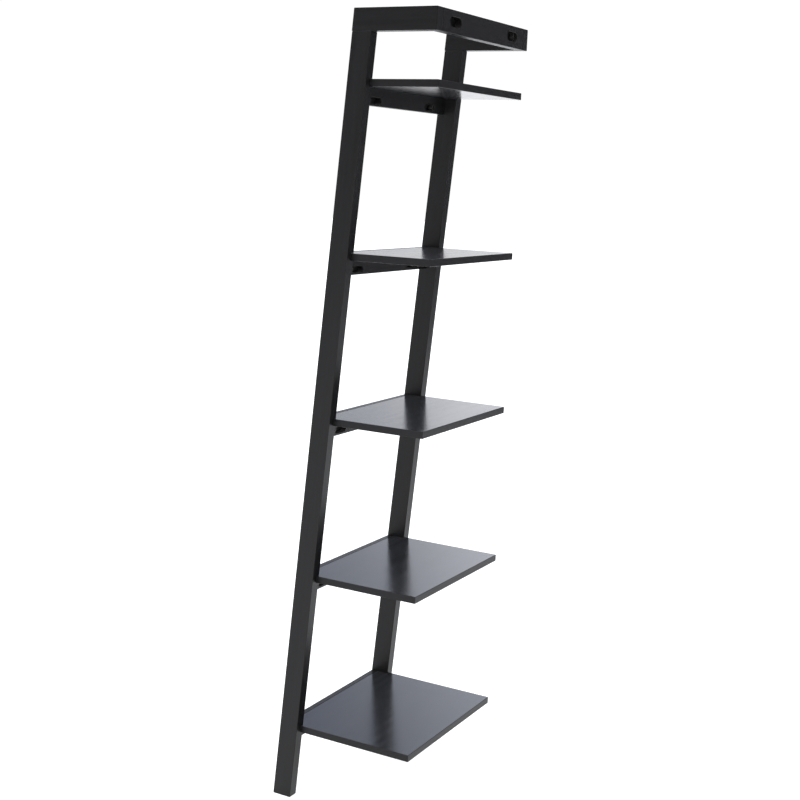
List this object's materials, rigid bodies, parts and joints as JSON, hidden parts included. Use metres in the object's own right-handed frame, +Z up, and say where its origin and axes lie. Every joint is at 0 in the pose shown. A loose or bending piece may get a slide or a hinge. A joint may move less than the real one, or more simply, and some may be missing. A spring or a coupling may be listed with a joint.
{
  "type": "ladder shelf",
  "caption": "Leaning ladder shelf with two sloped stiles, deeper shelves towards the floor, front rails, top arms and a wall crossbar.",
  "frame": {"origin": "on the floor, under the middle of the whole shelf's width and depth", "axes": "+Z up, +Y towards the wall, +X to the right when the shelf is seen from the front"},
  "size_m": [0.48, 0.372, 1.92],
  "materials": {
    "frame_paint": "black painted wood with a satin lacquer",
    "shelf_paint": "black stained wood with a faint grain under a glossy lacquer",
    "dark_steel": "black-plated steel studs, washers and nuts",
    "beech_dowel": "bare beech"
  },
  "bodies": {
    "root": {"stile_left": "frame_paint", "arm_left": "frame_paint", "arm_dowel_front_left": "beech_dowel", "arm_dowel_back_left": "beech_dowel", "stile_right": "frame_paint", "arm_right": "frame_paint", "arm_dowel_front_right": "beech_dowel", "arm_dowel_back_right": "beech_dowel", "crossbar": "frame_paint", "crossbar_stud_left": "dark_steel", "crossbar_washer_left": "dark_steel", "crossbar_nut_left": "dark_steel", "crossbar_dowel_left": "beech_dowel", "crossbar_stud_right": "dark_steel", "crossbar_washer_right": "dark_steel", "crossbar_nut_right": "dark_steel", "crossbar_dowel_right": "beech_dowel", "shelf_1": "shelf_paint", "rail_1": "frame_paint", "rail_1_stud_left": "dark_steel", "rail_1_washer_left": "dark_steel", "rail_1_nut_left": "dark_steel", "rail_1_stud_right": "dark_steel", "rail_1_washer_right": "dark_steel", "rail_1_nut_right": "dark_steel", "shelf_2": "shelf_paint", "rail_2": "frame_paint", "rail_2_stud_left": "dark_steel", "rail_2_washer_left": "dark_steel", "rail_2_nut_left": "dark_steel", "rail_2_stud_right": "dark_steel", "rail_2_washer_right": "dark_steel", "rail_2_nut_right": "dark_steel", "shelf_3": "shelf_paint", "rail_3": "frame_paint", "rail_3_stud_left": "dark_steel", "rail_3_washer_left": "dark_steel", "rail_3_nut_left": "dark_steel", "rail_3_stud_right": "dark_steel", "rail_3_washer_right": "dark_steel", "rail_3_nut_right": "dark_steel", "shelf_4": "shelf_paint", "rail_4": "frame_paint", "rail_4_stud_left": "dark_steel", "rail_4_washer_left": "dark_steel", "rail_4_nut_left": "dark_steel", "rail_4_stud_right": "dark_steel", "rail_4_washer_right": "dark_steel", "rail_4_nut_right": "dark_steel", "shelf_5": "shelf_paint", "rail_5": "frame_paint", "rail_5_stud_left": "dark_steel", "rail_5_washer_left": "dark_steel", "rail_5_nut_left": "dark_steel", "rail_5_stud_right": "dark_steel", "rail_5_washer_right": "dark_steel", "rail_5_nut_right": "dark_steel"}
  },
  "joints": []
}
